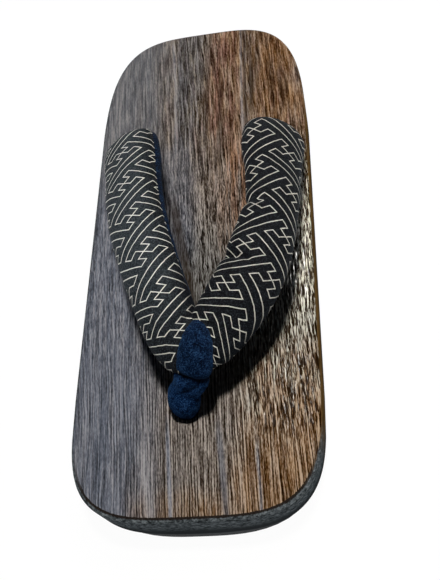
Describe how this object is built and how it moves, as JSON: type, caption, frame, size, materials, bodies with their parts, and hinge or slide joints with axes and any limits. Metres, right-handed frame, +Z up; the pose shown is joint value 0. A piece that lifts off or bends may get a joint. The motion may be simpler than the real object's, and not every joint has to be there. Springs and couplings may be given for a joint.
{
  "type": "geta sandal",
  "caption": "Low wooden geta for the left foot: a dark raised-grain board with an arched underside and rubber soles, padded fret-pattern straps in a V and a thong between the toes.",
  "frame": {"origin": "on the floor, under the middle of the board's length and width", "axes": "+Z up, +Y from toe to heel, +X to the little toes' side"},
  "size_m": [0.102, 0.25, 0.0728],
  "materials": {
    "burnt_wood": "burnt, brushed to a raised grain and lacquered, satin to gloss",
    "sole_rubber": "matt black sponge rubber",
    "strap_cotton": "woven cotton, charcoal with cream fret lines",
    "thong_velvet": "navy velvet with a short nap"
  },
  "bodies": {
    "root": {"wooden_board": "burnt_wood", "forefoot_sole": "sole_rubber", "heel_sole": "sole_rubber", "padded_straps": "strap_cotton", "toe_thong": "thong_velvet"}
  },
  "joints": []
}
